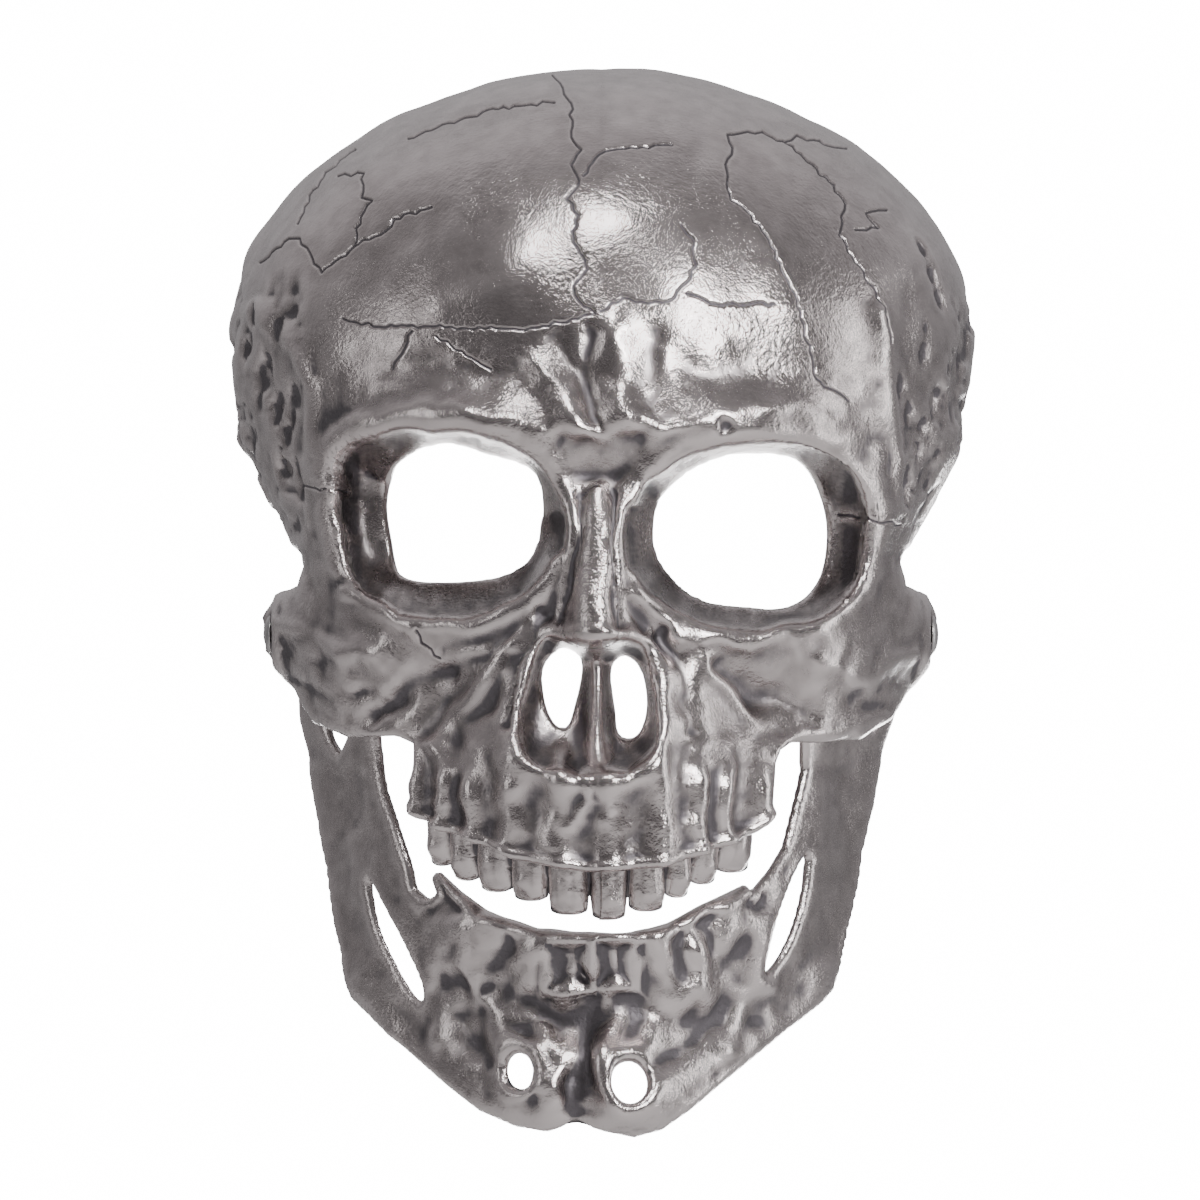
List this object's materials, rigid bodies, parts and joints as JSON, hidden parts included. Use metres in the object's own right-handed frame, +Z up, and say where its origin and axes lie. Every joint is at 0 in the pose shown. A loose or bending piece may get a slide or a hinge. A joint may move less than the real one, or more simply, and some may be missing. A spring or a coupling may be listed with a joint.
{
  "type": "skull face mask",
  "caption": "Rigid metallised skull face mask with open eye and nose holes, a hinged lower jaw, a tooth insert, foam pads and an elastic head strap.",
  "frame": {"origin": "the wearer's eye level, on the midline, in the plane of the shell's rear rim", "axes": "+Z up, the face looks along -Y, +X to the right of someone looking at the face"},
  "size_m": [0.1816, 0.1826, 0.2577],
  "materials": {
    "cast_metal": "aged nickel plating, dark in the grooves, fine hammered skin",
    "rivet_steel": "satin",
    "washer_nylon": "moulded nylon",
    "pad_foam": "closed-cell foam with a cloth face",
    "strap_webbing": "woven elastic webbing"
  },
  "bodies": {
    "mask": {"skull_shell": "cast_metal", "upper_tooth_row": "cast_metal", "hinge_rivet_left": "rivet_steel", "hinge_rivet_right": "rivet_steel", "hinge_washer_left": "washer_nylon", "hinge_washer_right": "washer_nylon", "hinge_clip_left": "rivet_steel", "hinge_clip_right": "rivet_steel", "brow_pad": "pad_foam", "crown_pad": "pad_foam", "cheek_pad_left": "pad_foam", "cheek_pad_right": "pad_foam", "head_strap": "strap_webbing", "strap_anchor_left": "rivet_steel", "strap_anchor_right": "rivet_steel", "strap_button_left": "rivet_steel", "strap_button_right": "rivet_steel"},
    "jaw": {"lower_jaw": "cast_metal", "chin_pad": "pad_foam"},
    "slider": {"strap_slider": "washer_nylon"}
  },
  "joints": [
    {"name": "jaw_hinge", "type": "hinge", "parent": "mask", "child": "jaw", "pos_m": [0, -0.03, -0.027], "axis": [1, 0, 0], "range_deg": [0, 16]},
    {"name": "strap_adjust", "type": "slide", "parent": "mask", "child": "slider", "axis": [1, 0, 0], "range_m": [-0.03, 0.03]}
  ]
}
